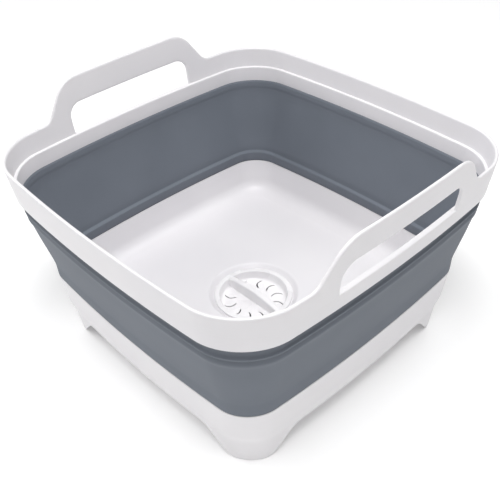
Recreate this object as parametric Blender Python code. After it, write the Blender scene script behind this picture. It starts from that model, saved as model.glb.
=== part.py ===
"""Collapsible wash tub: a white rim with two handles, a soft folding wall and a white base with a drain.

Metres, +Z up. The origin lies under the middle of the tub, on the surface that its feet stand on.
The handles are on the two X sides. The rim slides down by two panel heights when the wall folds, and
the strainer lifts straight out of the sump in the floor.
"""

import math
from collections import namedtuple

import bmesh
import bpy

# ---- driving dimensions -------------------------------------------------------------------------

FACE_GAP = 0.0003          # left between two pieces that touch

# rim frame
RIM_HALF_X = 0.1545        # half width at the rim's top edge, across the handle sides
RIM_HALF_Y = 0.1538        # half width at the rim's top edge, across the plain sides
RIM_BOW = 0.0075           # how far each side bows out between its corners
RIM_TOP_CORNER = 0.042     # corner radius at the top edge
RIM_LOW_CORNER = 0.037     # corner radius at the rim's lower edge
RIM_HEIGHT = 0.0316
RIM_DRAFT = 0.125          # how far the rim and its handles lean out per unit of height
RIM_SKIN = 0.0024          # thickness of the upper wall and of the handles
RIM_LOW_SKIN = 0.0032      # thickness at the rim's lower edge
LEDGE_DROP = 0.0172        # from the top edge down to the inner ledge

# handles, which are the rim's own wall drawn upwards
HANDLE_RISE = 0.0302       # above the rim's top edge
HANDLE_HALF_LENGTH = 0.085  # half the length at the foot of the flanks, before rounding
HANDLE_FLANK = 0.022       # how far each flank leans in over its rise
HANDLE_SHOULDER = 0.026    # radius of the upper corners
HANDLE_FOOT_RADIUS = 0.012  # radius where the flank meets the rim
GRIP_HALF_LENGTH = 0.065   # half the length of the finger hole
GRIP_TOP_DROP = 0.0227     # from the handle's top down to the hole
GRIP_CORNER = 0.012        # radius of the hole's upper corners
GRIP_SILL = 0.0004         # how far the hole is cut into the ledge

# soft wall, from the base up
WALL_SKIN = 0.0022
LOWER_BAND_HEIGHT = 0.0234
PANEL_HEIGHT = 0.0464
UPPER_BAND_HEIGHT = 0.0113
FOLD_CLEARANCE = 0.0005    # between the panel and the lower band that it slides over
NEST_CLEARANCE = 0.0008    # between the panel and the rim that slides over it

# base tray
BASE_INSET = 0.0212        # how much narrower the base is than the rim's top edge, per side
BASE_BOW = 0.006
BASE_CORNER = 0.026
BASE_DRAFT = 0.115
BASE_SKIN = 0.0022
BASE_WALL_HEIGHT = 0.0331  # from the floor up to the soft wall
FLOOR_SKIN = 0.0024
FLOOR_FILLET = 0.012
FOOT_HEIGHT = 0.0235       # clear height of the arches between the feet
FLOOR_LIFT = 0.0078        # from the top of the arches up to the floor
FOOT_LENGTH = 0.053        # from the corner along each side to the start of the flank
FLANK_LENGTH = 0.012       # how far the foot's flank leans over its rise
FOOT_FILLET = 0.009

# sump and outlet in the floor
CUP_RADIUS = 0.0322        # outside of the strainer cup
CUP_SKIN = 0.0017
CUP_CLEARANCE = 0.001      # between the cup and the sump's wall
SUMP_SKIN = 0.0022
SUMP_DEPTH = 0.0206        # from the floor to the sump's bottom
RECESS_DEPTH = 0.0042
RECESS_CHAMFER = 0.004
OUTLET_RADIUS = 0.014

# strainer
FLANGE_REACH = 0.0028      # flange beyond the cup's outside
FLANGE_SKIN = 0.0018
RECESS_CLEARANCE = 0.001   # around the flange
CUP_DEPTH = 0.0085         # from the flange's top to the cup's floor
CUP_FLOOR_SKIN = 0.0015
GRIP_BAR_WIDTH = 0.0055
GRIP_BAR_CROWN = 0.0028    # how far the bar's middle stands above its ends
GRIP_BAR_DROP = 0.0002     # from the flange's top down to the bar's ends
SLOT_COUNT = 12            # places round the cup; the two under the bar stay solid
SLOT_WIDTH = 0.0015
SLOT_LENGTH = 0.013
SLOT_MARGIN = 0.003        # between the slots' outer ends and the cup's wall
SLOT_BULGE = 0.003         # how far each crescent slot bends aside at its middle

# stopper seal on the peg under the cup
SEAL_RADIUS = 0.0185
SEAL_THICKNESS = 0.003
PEG_RADIUS = 0.0037
PEG_HEAD_RADIUS = 0.0055
PEG_HEAD_SKIN = 0.0013
PEG_SHOULDER_RADIUS = 0.007

# mesh fineness
ARC_STEPS = 6
SIDE_STEPS = 10
FILLET_STEPS = 4
OUTLINE_ARC_STEPS = 8
SMOOTH_ANGLE = math.radians(35.0)
CUT_MARGIN = 0.022         # how far a cutter reaches past what it cuts

# ---- heights worked out from them -----------------------------------------------------------------

FLOOR_Z = FOOT_HEIGHT + FLOOR_LIFT
BASE_TOP_Z = FLOOR_Z + BASE_WALL_HEIGHT
LOWER_BAND_Z = BASE_TOP_Z + FACE_GAP
PANEL_Z = LOWER_BAND_Z + LOWER_BAND_HEIGHT + FACE_GAP
UPPER_BAND_Z = PANEL_Z + PANEL_HEIGHT + FACE_GAP
RIM_Z = UPPER_BAND_Z + UPPER_BAND_HEIGHT + FACE_GAP
RIM_TOP_Z = RIM_Z + RIM_HEIGHT
LEDGE_Z = RIM_TOP_Z - LEDGE_DROP
HANDLE_TOP_Z = RIM_TOP_Z + HANDLE_RISE

FLANGE_RADIUS = CUP_RADIUS + FLANGE_REACH
SUMP_RADIUS = CUP_RADIUS + CUP_CLEARANCE
SUMP_FLOOR_Z = FLOOR_Z - SUMP_DEPTH
LAND_Z = FLOOR_Z - RECESS_DEPTH
FLANGE_Z = LAND_Z + FACE_GAP
FLANGE_TOP_Z = FLANGE_Z + FLANGE_SKIN
CUP_FLOOR_Z = FLANGE_TOP_Z - CUP_DEPTH
CUP_INNER_RADIUS = CUP_RADIUS - CUP_SKIN
SLOT_OUTER_RADIUS = CUP_INNER_RADIUS - SLOT_MARGIN
SLOT_INNER_RADIUS = SLOT_OUTER_RADIUS - SLOT_LENGTH
SEAL_Z = SUMP_FLOOR_Z + FACE_GAP

# ---- plan outlines --------------------------------------------------------------------------------

Section = namedtuple("Section", "half_x half_y bow corner")


def grown(section, amount):
    """The same outline moved outwards by amount, or inwards if it is negative."""
    return Section(section.half_x + amount, section.half_y + amount, section.bow, section.corner + amount)


def rim_section(z):
    """Outside of the rim at height z: drafted all the way, so that the handles above it lean out too."""
    fall = RIM_TOP_Z - z
    share = fall / RIM_HEIGHT
    corner = RIM_TOP_CORNER + (RIM_LOW_CORNER - RIM_TOP_CORNER) * share
    return Section(RIM_HALF_X - RIM_DRAFT * fall, RIM_HALF_Y - RIM_DRAFT * fall, RIM_BOW, corner)


def base_section(z):
    """Outside of the base at height z, drafted down to the feet."""
    inset = BASE_INSET + BASE_DRAFT * (BASE_TOP_Z - z)
    return Section(RIM_HALF_X - inset, RIM_HALF_Y - inset, BASE_BOW, BASE_CORNER)


def plan_ring(section, z):
    """Points of a square with round corners, whose sides then bow out as a parabola."""
    square_x = section.half_x - section.bow
    square_y = section.half_y - section.bow
    corner = section.corner
    flat = []
    for quarter in range(4):
        sign_x = (1, -1, -1, 1)[quarter]
        sign_y = (1, 1, -1, -1)[quarter]
        centre_x = sign_x * (square_x - corner)
        centre_y = sign_y * (square_y - corner)
        for step in range(ARC_STEPS + 1):
            angle = math.pi / 2 * (quarter + step / ARC_STEPS)
            flat.append((centre_x + corner * math.cos(angle), centre_y + corner * math.sin(angle)))
        end_x, end_y = flat[-1]
        next_x = (-centre_x, -square_x, -centre_x, square_x)[quarter]
        next_y = (square_y, -centre_y, -square_y, -centre_y)[quarter]
        for step in range(1, SIDE_STEPS):
            share = step / SIDE_STEPS
            flat.append((end_x + (next_x - end_x) * share, end_y + (next_y - end_y) * share))
    ring = []
    for x, y in flat:
        bow_x = section.bow * (x / square_x) * (1 - (y / square_y) ** 2)
        bow_y = section.bow * (y / square_y) * (1 - (x / square_x) ** 2)
        ring.append((x + bow_x, y + bow_y, z))
    return ring


def round_ring(radius, z):
    """As many points as a plan ring has, evenly round a circle and in the same order."""
    count = 4 * (ARC_STEPS + SIDE_STEPS)
    first = math.pi / 4 - math.pi / 2 * (ARC_STEPS / 2) / (ARC_STEPS + SIDE_STEPS)
    ring = []
    for step in range(count):
        angle = first + 2 * math.pi * step / count
        ring.append((radius * math.cos(angle), radius * math.sin(angle), z))
    return ring


def rounded_path(corners, steps=OUTLINE_ARC_STEPS):
    """Turns a list of (a, b, radius) corners into points, each corner an arc between its two sides."""
    points = []
    count = len(corners)
    for index, (a, b, radius) in enumerate(corners):
        if radius == 0:
            points.append((a, b))
            continue
        before = corners[index - 1]
        after = corners[(index + 1) % count]
        in_a, in_b = before[0] - a, before[1] - b
        out_a, out_b = after[0] - a, after[1] - b
        in_length = math.hypot(in_a, in_b)
        out_length = math.hypot(out_a, out_b)
        in_a, in_b = in_a / in_length, in_b / in_length
        out_a, out_b = out_a / out_length, out_b / out_length
        half_angle = math.acos(in_a * out_a + in_b * out_b) / 2
        reach = radius / math.tan(half_angle)
        mid_a, mid_b = in_a + out_a, in_b + out_b
        mid_length = math.hypot(mid_a, mid_b)
        to_centre = radius / math.sin(half_angle)
        centre_a = a + mid_a / mid_length * to_centre
        centre_b = b + mid_b / mid_length * to_centre
        start = math.atan2(b + in_b * reach - centre_b, a + in_a * reach - centre_a)
        end = math.atan2(b + out_b * reach - centre_b, a + out_a * reach - centre_a)
        turn = (end - start + math.pi) % (2 * math.pi) - math.pi
        for step in range(steps + 1):
            angle = start + turn * step / steps
            points.append((centre_a + radius * math.cos(angle), centre_b + radius * math.sin(angle)))
    return points


# ---- objects ----------------------------------------------------------------------------------------


def plastic(name, colour, roughness):
    """A Principled material for one sub-part."""
    material = bpy.data.materials.new(name)
    material.use_nodes = True
    shader = material.node_tree.nodes["Principled BSDF"]
    shader.inputs["Base Color"].default_value = (*colour, 1.0)
    shader.inputs["Roughness"].default_value = roughness
    shader.inputs["Metallic"].default_value = 0.0
    return material


def new_object(name, bm, origin_z=0.0, material=None):
    """Makes an object with its origin at origin_z on the tub's axis; bm is in the tub's own frame."""
    bmesh.ops.translate(bm, verts=bm.verts, vec=(0.0, 0.0, -origin_z))
    bmesh.ops.recalc_face_normals(bm, faces=bm.faces)
    mesh = bpy.data.meshes.new(name)
    bm.to_mesh(mesh)
    bm.free()
    mesh.shade_smooth()
    mesh.set_sharp_from_angle(angle=SMOOTH_ANGLE)
    if material:
        mesh.materials.append(material)
    piece = bpy.data.objects.new(name, mesh)
    piece.location = (0.0, 0.0, origin_z)
    bpy.context.collection.objects.link(piece)
    return piece


def lofted(rings, closed=True):
    """A skin over rings of equal length. It joins the last ring to the first, or caps both ends."""
    bm = bmesh.new()
    loops = [[bm.verts.new(point) for point in ring] for ring in rings]
    pairs = list(zip(loops, loops[1:]))
    if closed:
        pairs.append((loops[-1], loops[0]))
    else:
        bm.faces.new(loops[0])
        bm.faces.new(loops[-1])
    for low, high in pairs:
        count = len(low)
        for index in range(count):
            after = (index + 1) % count
            bm.faces.new((low[index], low[after], high[after], high[index]))
    return bm


def add_prism(bm, outline, place, start, end):
    """Adds a closed prism: place(a, b, along) gives the point for an outline point and a depth."""
    near = [bm.verts.new(place(a, b, start)) for a, b in outline]
    far = [bm.verts.new(place(a, b, end)) for a, b in outline]
    bm.faces.new(near)
    bm.faces.new(far)
    count = len(outline)
    for index in range(count):
        after = (index + 1) % count
        bm.faces.new((near[index], near[after], far[after], far[index]))


def cut(piece, cutter, operation="DIFFERENCE"):
    """Cuts the cutter out of the piece, or joins it on, and hides the cutter."""
    modifier = piece.modifiers.new(cutter.name, "BOOLEAN")
    modifier.operation = operation
    modifier.solver = "EXACT"
    modifier.object = cutter
    cutter.hide_render = True
    cutter.display_type = "WIRE"


def across_x(a, b, along):
    return (along, a, b)


def across_y(a, b, along):
    return (a, along, b)


def upright(a, b, along):
    return (a, b, along)


# ---- sub-parts --------------------------------------------------------------------------------------


def above_handles():
    """Everything over the rim's top edge except the two handles, seen along X."""
    reach = RIM_HALF_Y + CUT_MARGIN
    foot = HANDLE_HALF_LENGTH
    top = HANDLE_HALF_LENGTH - HANDLE_FLANK
    sky = HANDLE_TOP_Z + CUT_MARGIN
    outline = rounded_path([
        (-reach, RIM_TOP_Z, 0),
        (-foot, RIM_TOP_Z, HANDLE_FOOT_RADIUS),
        (-top, HANDLE_TOP_Z, HANDLE_SHOULDER),
        (top, HANDLE_TOP_Z, HANDLE_SHOULDER),
        (foot, RIM_TOP_Z, HANDLE_FOOT_RADIUS),
        (reach, RIM_TOP_Z, 0),
        (reach, sky, 0),
        (-reach, sky, 0),
    ])
    bm = bmesh.new()
    span = RIM_HALF_X + CUT_MARGIN
    add_prism(bm, outline, across_x, -span, span)
    return new_object("cutter_above_handles", bm)


def finger_holes():
    """Both finger holes in one prism along X: flat on the ledge, round at the upper corners."""
    half = GRIP_HALF_LENGTH
    sill = LEDGE_Z - GRIP_SILL
    top = HANDLE_TOP_Z - GRIP_TOP_DROP
    outline = rounded_path([
        (-half, sill, 0),
        (half, sill, 0),
        (half, top, GRIP_CORNER),
        (-half, top, GRIP_CORNER),
    ])
    bm = bmesh.new()
    span = RIM_HALF_X + CUT_MARGIN
    add_prism(bm, outline, across_x, -span, span)
    return new_object("cutter_finger_holes", bm)


def make_rim_frame(material):
    """The rim with its two handles: one drafted outer wall, an inner ledge and a thicker lower edge."""
    over_z = HANDLE_TOP_Z + CUT_MARGIN / 2
    rings = [
        plan_ring(rim_section(RIM_Z), RIM_Z),
        plan_ring(rim_section(over_z), over_z),
        plan_ring(grown(rim_section(over_z), -RIM_SKIN), over_z),
        plan_ring(grown(rim_section(LEDGE_Z), -RIM_SKIN), LEDGE_Z),
        plan_ring(rim_bore(), LEDGE_Z),
        plan_ring(rim_bore(), RIM_Z),
    ]
    rim = new_object("rim_frame", lofted(rings), RIM_Z, material)
    cut(rim, above_handles())
    cut(rim, finger_holes())
    return rim


def rim_bore():
    """Inside of the rim below its ledge, which the soft wall hangs from and nests in."""
    return grown(rim_section(RIM_Z), -RIM_LOW_SKIN)


def soft_ring(name, lower, low_z, upper, high_z, material):
    """One ring of the soft wall between an outer outline at its foot and another at its top."""
    rings = [
        plan_ring(lower, low_z),
        plan_ring(upper, high_z),
        plan_ring(grown(upper, -WALL_SKIN), high_z),
        plan_ring(grown(lower, -WALL_SKIN), low_z),
    ]
    return new_object(name, lofted(rings), low_z, material)


def make_upper_band(material):
    """The part of the soft wall that is moulded to the rim and comes down with it."""
    outside = grown(rim_bore(), WALL_SKIN)
    top_z = UPPER_BAND_Z + UPPER_BAND_HEIGHT
    return soft_ring("wall_upper_band", outside, UPPER_BAND_Z, outside, top_z, material)


def make_main_panel(material):
    """The slanted panel that turns over between the two folds."""
    lower = grown(base_section(BASE_TOP_Z), FOLD_CLEARANCE + WALL_SKIN)
    upper = grown(rim_bore(), -NEST_CLEARANCE)
    return soft_ring("wall_main_panel", lower, PANEL_Z, upper, PANEL_Z + PANEL_HEIGHT, material)


def make_lower_band(material):
    """The part of the soft wall that is moulded to the base and stays with it."""
    outside = base_section(BASE_TOP_Z)
    top_z = LOWER_BAND_Z + LOWER_BAND_HEIGHT
    return soft_ring("wall_lower_band", outside, LOWER_BAND_Z, outside, top_z, material)


def foot_arches():
    """Four short prisms, one through each side's skirt, that leave a foot at each corner."""
    bm = bmesh.new()
    for half, depth, place in (
        (RIM_HALF_Y - BASE_INSET, RIM_HALF_X - BASE_INSET, across_x),
        (RIM_HALF_X - BASE_INSET, RIM_HALF_Y - BASE_INSET, across_y),
    ):
        top = half - FOOT_LENGTH
        foot = top + FLANK_LENGTH
        outline = rounded_path([
            (-foot - CUT_MARGIN, -CUT_MARGIN, 0),
            (-foot - CUT_MARGIN, -FACE_GAP, 0),
            (-foot, -FACE_GAP, FOOT_FILLET),
            (-top, FOOT_HEIGHT, FOOT_FILLET),
            (top, FOOT_HEIGHT, FOOT_FILLET),
            (foot, -FACE_GAP, FOOT_FILLET),
            (foot + CUT_MARGIN, -FACE_GAP, 0),
            (foot + CUT_MARGIN, -CUT_MARGIN, 0),
        ])
        inner = depth - CUT_MARGIN
        outer = depth + CUT_MARGIN
        add_prism(bm, outline, place, inner, outer)
        add_prism(bm, outline, place, -inner, -outer)
    return new_object("cutter_foot_arches", bm)


def make_base_tray(material):
    """Short wall, floor, skirt with four feet, and the sump that holds the strainer."""
    underside = FLOOR_Z - FLOOR_SKIN
    land_under = LAND_Z - FLOOR_SKIN
    land_radius = FLANGE_RADIUS + RECESS_CLEARANCE
    rings = [
        plan_ring(base_section(BASE_TOP_Z), BASE_TOP_Z),
        plan_ring(base_section(0.0), 0.0),
        plan_ring(grown(base_section(0.0), -BASE_SKIN), 0.0),
        plan_ring(grown(base_section(underside), -BASE_SKIN), underside),
        round_ring(land_radius + RECESS_CHAMFER + FLOOR_SKIN, underside),
        round_ring(land_radius + FLOOR_SKIN, land_under),
        round_ring(SUMP_RADIUS + SUMP_SKIN, land_under),
        round_ring(SUMP_RADIUS + SUMP_SKIN, SUMP_FLOOR_Z - SUMP_SKIN),
        round_ring(OUTLET_RADIUS, SUMP_FLOOR_Z - SUMP_SKIN),
        round_ring(OUTLET_RADIUS, SUMP_FLOOR_Z),
        round_ring(SUMP_RADIUS, SUMP_FLOOR_Z),
        round_ring(SUMP_RADIUS, LAND_Z),
        round_ring(land_radius, LAND_Z),
        round_ring(land_radius + RECESS_CHAMFER, FLOOR_Z),
    ]
    for step in range(FILLET_STEPS + 1):
        angle = math.pi / 2 * step / FILLET_STEPS
        z = FLOOR_Z + FLOOR_FILLET * (1 - math.cos(angle))
        inset = BASE_SKIN + FLOOR_FILLET * (1 - math.sin(angle))
        rings.append(plan_ring(grown(base_section(z), -inset), z))
    rings.append(plan_ring(grown(base_section(BASE_TOP_Z), -BASE_SKIN), BASE_TOP_Z))
    base = new_object("base_tray", lofted(rings), 0.0, material)
    cut(base, foot_arches())
    return base


def grip_bar():
    """The upright bar across the cup that fingers pinch to lift it, crowned along its top."""
    bm = bmesh.new()
    sunk = CUP_FLOOR_SKIN / 2
    end_z = FLANGE_TOP_Z - GRIP_BAR_DROP
    reach = CUP_INNER_RADIUS + CUP_SKIN / 2
    outline = [(-reach, CUP_FLOOR_Z - sunk), (reach, CUP_FLOOR_Z - sunk)]
    for step in range(SIDE_STEPS + 1):
        along = 1 - 2 * step / SIDE_STEPS
        outline.append((reach * along, end_z + GRIP_BAR_CROWN * (1 - along * along)))
    add_prism(bm, outline, across_y, -GRIP_BAR_WIDTH / 2, GRIP_BAR_WIDTH / 2)
    return new_object("cutter_grip_bar", bm)


def drain_slots():
    """Crescent slots through the cup's floor, each running outwards and bending aside at its middle."""
    bm = bmesh.new()
    length = SLOT_OUTER_RADIUS - SLOT_INNER_RADIUS
    for slot in range(SLOT_COUNT):
        if slot % (SLOT_COUNT // 2) == 0:
            continue
        angle = 2 * math.pi * slot / SLOT_COUNT
        sides = ([], [])
        for step in range(ARC_STEPS + 1):
            share = step / ARC_STEPS
            out = SLOT_INNER_RADIUS + length * share
            aside = SLOT_BULGE * 4 * share * (1 - share)
            slope = math.atan2(SLOT_BULGE * 4 * (1 - 2 * share), length)
            for side, half in zip(sides, (SLOT_WIDTH / 2, -SLOT_WIDTH / 2)):
                along = out - half * math.sin(slope)
                across = aside + half * math.cos(slope)
                x = along * math.cos(angle) - across * math.sin(angle)
                y = along * math.sin(angle) + across * math.cos(angle)
                side.append((x, y))
        outline = sides[0] + sides[1][::-1]
        add_prism(bm, outline, upright, CUP_FLOOR_Z - 2 * CUP_FLOOR_SKIN, CUP_FLOOR_Z + CUP_FLOOR_SKIN)
    return new_object("cutter_drain_slots", bm)


def make_strainer_cup(material):
    """Flange, cup, slotted floor and grip bar, with the peg that carries the seal under it."""
    under = CUP_FLOOR_Z - CUP_FLOOR_SKIN
    shoulder_z = SEAL_Z + SEAL_THICKNESS + FACE_GAP
    head_z = SEAL_Z - FACE_GAP
    rings = [
        round_ring(CUP_INNER_RADIUS, CUP_FLOOR_Z),
        round_ring(CUP_INNER_RADIUS, FLANGE_TOP_Z),
        round_ring(FLANGE_RADIUS, FLANGE_TOP_Z),
        round_ring(FLANGE_RADIUS, FLANGE_Z),
        round_ring(CUP_RADIUS, FLANGE_Z),
        round_ring(CUP_RADIUS, under),
        round_ring(PEG_SHOULDER_RADIUS, under),
        round_ring(PEG_SHOULDER_RADIUS, shoulder_z),
        round_ring(PEG_RADIUS, shoulder_z),
        round_ring(PEG_RADIUS, head_z),
        round_ring(PEG_HEAD_RADIUS, head_z),
        round_ring(PEG_HEAD_RADIUS, head_z - PEG_HEAD_SKIN),
    ]
    cup = new_object("strainer_cup", lofted(rings, closed=False), CUP_FLOOR_Z, material)
    cut(cup, drain_slots())
    cut(cup, grip_bar(), "UNION")
    return cup


def make_stopper_seal(material):
    """The soft disc that closes the outlet, pushed over the head of the peg."""
    hole = PEG_RADIUS + FACE_GAP
    top = SEAL_Z + SEAL_THICKNESS
    rings = [
        round_ring(hole, SEAL_Z),
        round_ring(SEAL_RADIUS - FACE_GAP, SEAL_Z),
        round_ring(SEAL_RADIUS, SEAL_Z + SEAL_THICKNESS / 3),
        round_ring(SEAL_RADIUS, top - SEAL_THICKNESS / 3),
        round_ring(SEAL_RADIUS - SEAL_THICKNESS / 2, top),
        round_ring(hole, top),
    ]
    return new_object("stopper_seal", lofted(rings), SEAL_Z, material)


def main():
    for old in list(bpy.data.objects):
        bpy.data.objects.remove(old, do_unlink=True)
    white = (0.74, 0.73, 0.75)
    grey = (0.14, 0.16, 0.18)
    make_rim_frame(plastic("rim_polypropylene", white, 0.35))
    make_upper_band(plastic("upper_band_elastomer", grey, 0.55))
    make_main_panel(plastic("main_panel_elastomer", grey, 0.55))
    make_lower_band(plastic("lower_band_elastomer", grey, 0.55))
    make_base_tray(plastic("base_polypropylene", white, 0.35))
    make_strainer_cup(plastic("strainer_polypropylene", white, 0.35))
    make_stopper_seal(plastic("seal_silicone", grey, 0.6))
    group = bpy.data.objects.new("wash_tub", None)
    bpy.context.collection.objects.link(group)
    for piece in list(bpy.data.objects):
        if piece is not group:
            piece.parent = group


main()
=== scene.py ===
"""Fine surfaces, finishes, stage and camera for a collapsible wash tub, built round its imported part.

Laid out as an add-on and run as a script. Metres, +Z up, feet on z = 0, handles on the two X sides.
"""

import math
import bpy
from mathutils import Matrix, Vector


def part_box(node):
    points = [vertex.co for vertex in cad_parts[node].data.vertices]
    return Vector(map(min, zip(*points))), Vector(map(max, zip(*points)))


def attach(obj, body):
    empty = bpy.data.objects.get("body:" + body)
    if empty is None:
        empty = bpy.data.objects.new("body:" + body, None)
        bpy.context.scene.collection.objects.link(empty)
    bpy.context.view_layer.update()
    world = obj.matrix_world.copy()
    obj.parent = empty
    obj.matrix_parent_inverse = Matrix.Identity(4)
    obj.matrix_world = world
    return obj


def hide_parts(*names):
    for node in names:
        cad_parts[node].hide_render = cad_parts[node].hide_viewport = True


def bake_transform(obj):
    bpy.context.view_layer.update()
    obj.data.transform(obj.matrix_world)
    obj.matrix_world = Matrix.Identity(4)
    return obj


bl_info = {
    "name": "Collapsible wash tub",
    "version": (1, 0, 0),
    "blender": (4, 5, 0),
    "location": "3D View > Sidebar > Wash tub",
    "description": "Builds the rim, soft wall, base, strainer and seal of a collapsible wash tub",
    "category": "Add Mesh",
}

from collections import namedtuple

import bpy
import numpy as np
from bpy.props import FloatProperty, IntProperty, PointerProperty, StringProperty
from mathutils import Matrix, Vector

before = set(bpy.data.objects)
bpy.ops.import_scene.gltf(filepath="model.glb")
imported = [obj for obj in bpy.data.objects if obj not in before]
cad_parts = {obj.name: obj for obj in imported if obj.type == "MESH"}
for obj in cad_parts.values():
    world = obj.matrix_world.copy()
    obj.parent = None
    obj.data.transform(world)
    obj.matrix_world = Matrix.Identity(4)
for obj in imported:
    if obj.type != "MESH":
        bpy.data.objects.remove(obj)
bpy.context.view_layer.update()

# ---- places read from the frame ------------------------------------------------------------------

RIM_LOW, RIM_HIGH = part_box("rim_frame")
BASE_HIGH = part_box("base_tray")[1]
SEAL_LOW, SEAL_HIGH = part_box("stopper_seal")
CUP_LOW, CUP_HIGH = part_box("strainer_cup")

HANDLE_TOP_Z = RIM_HIGH.z
RIM_Z = RIM_LOW.z
BASE_TOP_Z = BASE_HIGH.z
FLANGE_RADIUS = CUP_HIGH.x

# ---- how finely the surfaces are drawn -----------------------------------------------------------

SIDE_STEPS = 60
RIM_ARC_STEPS = 20
WALL_ARC_STEPS = 24
BASE_ARC_STEPS = 28
HANDLE_ARC_STEPS = 14
CAP_STEPS = 9
EDGE_STEPS = 6
FINE_STEPS = 5
CUP_TURNS = 160
SEAL_TURNS = 96

# ---- stage ---------------------------------------------------------------------------------------

Softbox = namedtuple("Softbox", "name place target size power")
TUB_MIDDLE = (0, 0, 0.1)
TUB_FLOOR = (0, 0, 0.05)
SOFTBOXES = (
    Softbox("left", (-3.4, -1.2, 2.0), TUB_MIDDLE, 2.8, 74),
    Softbox("key", (-2.6, -3.0, 3.2), TUB_MIDDLE, 2.8, 10),
    Softbox("front", (0.9, -0.8, 2.6), TUB_MIDDLE, 1.2, 31),
    Softbox("back", (0.5, 0.8, 1.9), TUB_MIDDLE, 1.0, 9),
    Softbox("over", (0.1, -0.1, 0.9), TUB_FLOOR, 0.35, 2.4),
)
WORLD_STRENGTH = 0.25
FLOOR_HALF = 6.0
PAPER_GLOW = 0.12
CAMERA_AZIMUTH = math.radians(47.98)
CAMERA_ELEVATION = math.radians(38.40)
CAMERA_ROLL = -0.0436
CAMERA_DISTANCE = 0.65675
CAMERA_ASIDE = -0.00148
CAMERA_TARGET = Vector((0, 0, 0.07849))
CAMERA_LENS = 55.16
SENSOR_WIDTH = 36.0

# ---- plan outlines -------------------------------------------------------------------------------

Section = namedtuple("Section", "half_x half_y bow corner")
Stations = namedtuple("Stations", "quarter turn run")


def grown(section, amount):
    """The same outline moved outwards by amount, or inwards if it is negative."""
    half_x, half_y = section.half_x + amount, section.half_y + amount
    return Section(half_x, half_y, section.bow, section.corner + amount)


def outline_points(section, stations):
    """Points of a square with round corners whose sides bow out.

    A station lies in a quarter. It turns round that quarter's corner arc from 0 to 1, and then runs
    along the side after it from 0 to 1. The arc's point is the corner's centre plus the corner radius
    times the cosine and sine of the angle, and the run moves it along the arc's end tangent. At last
    each coordinate gains bow times its share of the half width times one minus the square of the
    other's share.
    """
    square_x = section.half_x - section.bow
    square_y = section.half_y - section.bow
    sign_x = np.array([1, -1, -1, 1])[stations.quarter]
    sign_y = np.array([1, 1, -1, -1])[stations.quarter]
    angle = (stations.quarter + stations.turn) * math.pi / 2
    ahead = (stations.quarter + 1) * math.pi / 2
    straight = np.where(stations.quarter % 2 == 0, square_x, square_y) - section.corner
    x = sign_x * (square_x - section.corner) + section.corner * np.cos(angle)
    y = sign_y * (square_y - section.corner) + section.corner * np.sin(angle)
    x = x - np.sin(ahead) * 2 * straight * stations.run
    y = y + np.cos(ahead) * 2 * straight * stations.run
    bow_x = section.bow * (x / square_x) * (1 - (y / square_y) ** 2)
    bow_y = section.bow * (y / square_y) * (1 - (x / square_x) ** 2)
    return x + bow_x, y + bow_y


def stations_from(side_x, side_y, arc_steps):
    """Stations all the way round: arc_steps to each corner, and runs for the two kinds of side.

    side_y holds the runs of the sides across Y, after corners 0 and 2; side_x holds those across X.
    """
    quarter, turn, run = [], [], []
    arc = np.arange(arc_steps) / arc_steps
    for index, side in enumerate((side_y, side_x, side_y, side_x)):
        quarter.append(np.full(arc_steps + len(side), index))
        turn.append(np.concatenate([arc, np.ones(len(side))]))
        run.append(np.concatenate([np.zeros(arc_steps), side]))
    return Stations(np.concatenate(quarter), np.concatenate(turn), np.concatenate(run))


def rounded(corners, steps):
    """A closed 2-D outline whose corners (a, b, radius) are arcs of steps parts, all as one array."""
    parts = []
    count = len(corners)
    for index, (a, b, radius) in enumerate(corners):
        point = np.array([a, b])
        if radius == 0:
            parts.append(point[None])
            continue
        back = np.array(corners[index - 1][:2]) - point
        ahead = np.array(corners[(index + 1) % count][:2]) - point
        back = back / np.linalg.norm(back)
        ahead = ahead / np.linalg.norm(ahead)
        half = math.acos(float(np.clip(back @ ahead, -1, 1))) / 2
        middle = (back + ahead) / np.linalg.norm(back + ahead)
        centre = point + middle * radius / math.sin(half)
        first = point + back * radius / math.tan(half) - centre
        last = point + ahead * radius / math.tan(half) - centre
        start = math.atan2(first[1], first[0])
        sweep = (math.atan2(last[1], last[0]) - start + math.pi) % (2 * math.pi) - math.pi
        angle = start + sweep * np.linspace(0, 1, steps + 1)
        parts.append(centre + radius * np.stack([np.cos(angle), np.sin(angle)], axis=1))
    return np.concatenate(parts)


def smooth_step(value, low, high):
    """0 below low, 1 above high, and three squares less two cubes of the share between them."""
    share = np.clip((value - low) / (high - low), 0, 1)
    return share * share * (3 - 2 * share)


def smooth_curve(points, steps):
    """A monotone cubic through (height, value) rows, as (value, height), in steps parts for each gap.

    A row's slope is the harmonic mean of its neighbours' slopes, or zero where they differ in sign.
    """
    heights, values = np.array(points, float).T
    slopes = np.diff(values) / np.diff(heights)
    same_way = slopes[:-1] * slopes[1:] > 0
    total = np.where(same_way, slopes[:-1] + slopes[1:], 1)
    middle = np.where(same_way, 2 * slopes[:-1] * slopes[1:] / total, 0)
    tangents = np.concatenate([slopes[:1], middle, slopes[-1:]])
    last = len(heights) - 1
    spots = np.interp(np.arange(last * steps + 1) / steps, np.arange(last + 1), heights)
    index = np.clip(np.searchsorted(heights, spots, side="right") - 1, 0, len(heights) - 2)
    step = heights[index + 1] - heights[index]
    share = (spots - heights[index]) / step
    curve = (
        values[index] * (1 + 2 * share) * (1 - share) ** 2
        + tangents[index] * step * share * (1 - share) ** 2
        + values[index + 1] * share**2 * (3 - 2 * share)
        - tangents[index + 1] * step * share**2 * (1 - share)
    )
    return np.stack([curve, spots], axis=1)


# ---- sections of this tub ------------------------------------------------------------------------


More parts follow.
